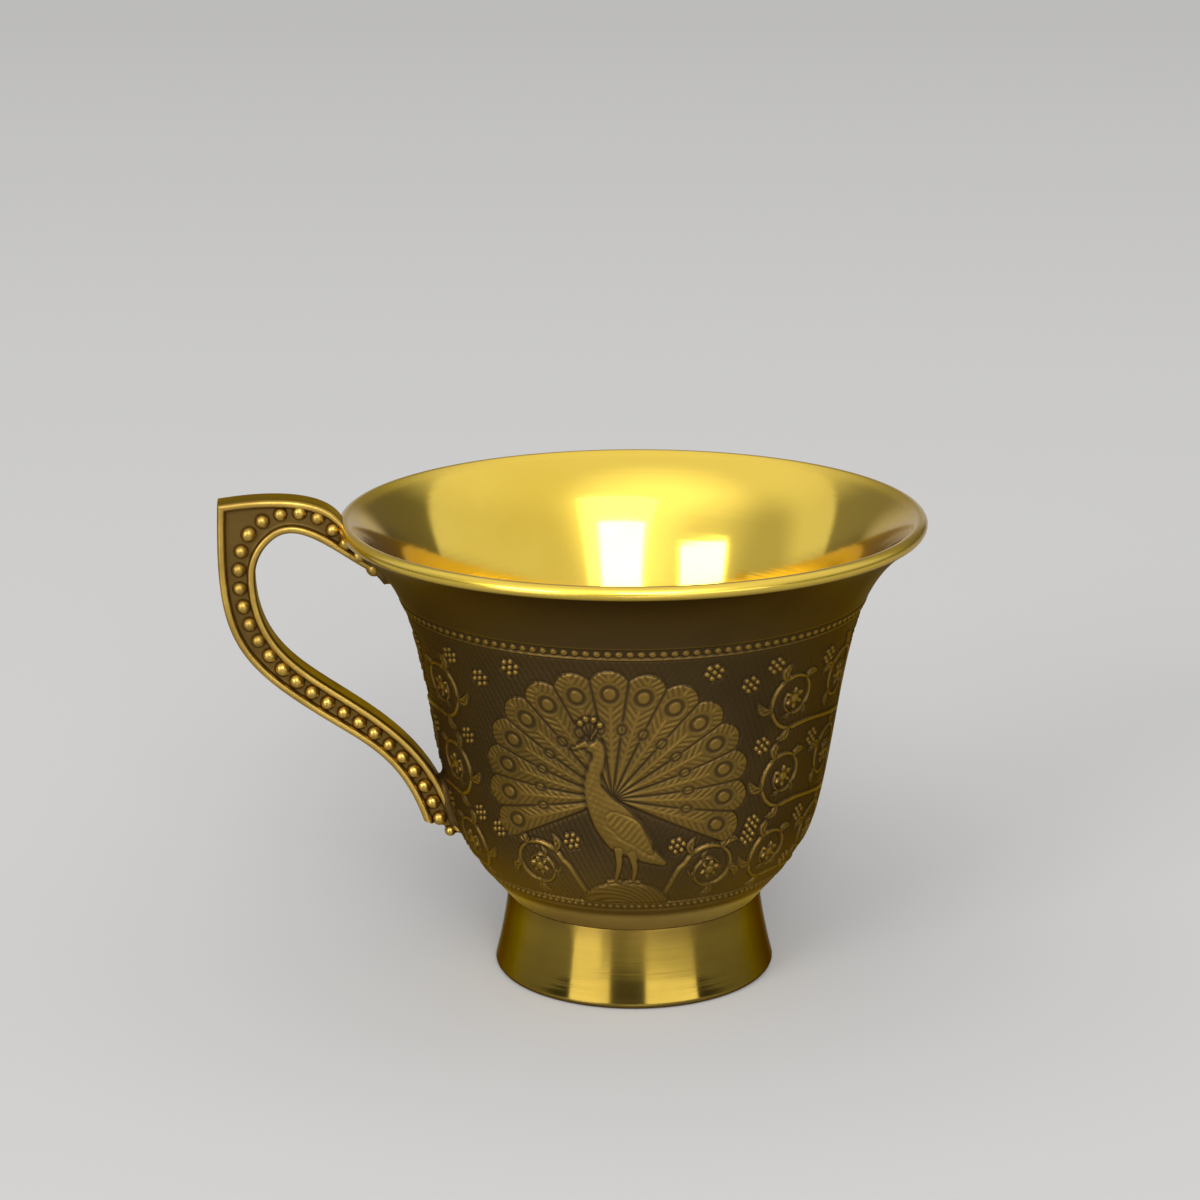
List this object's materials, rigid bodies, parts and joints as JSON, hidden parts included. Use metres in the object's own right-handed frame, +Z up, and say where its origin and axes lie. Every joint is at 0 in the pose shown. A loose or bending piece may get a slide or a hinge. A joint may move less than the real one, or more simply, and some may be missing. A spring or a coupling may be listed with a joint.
{
  "type": "coffee cup",
  "caption": "Brass coffee cup with a bell-shaped bowl and flared lip, a hollow flared foot and a beaded loop handle, for hot drinks.",
  "frame": {"origin": "on the table, under the middle of the cup's outline seen from above; the bowl's axis stands 8.52 mm towards +X from it", "axes": "+Z up along the bowl's axis, -X towards the handle, +Y away from a viewer who has the handle on the left"},
  "size_m": [0.101, 0.084, 0.0718],
  "materials": {
    "etched_brass": "etched outside with dark patina in the ground, mirror polished inside",
    "polished_brass": "mirror polished, with faint turning lines",
    "cast_brass": "satin cast brass with dark patina in the channels",
    "braze": "dull braze, slightly oxidised",
    "solder": "dull solder"
  },
  "bodies": {
    "root": {"bowl": "etched_brass", "foot": "polished_brass", "foot_solder": "solder", "handle": "cast_brass", "handle_top_braze": "braze", "handle_tail_braze": "braze"}
  },
  "joints": []
}
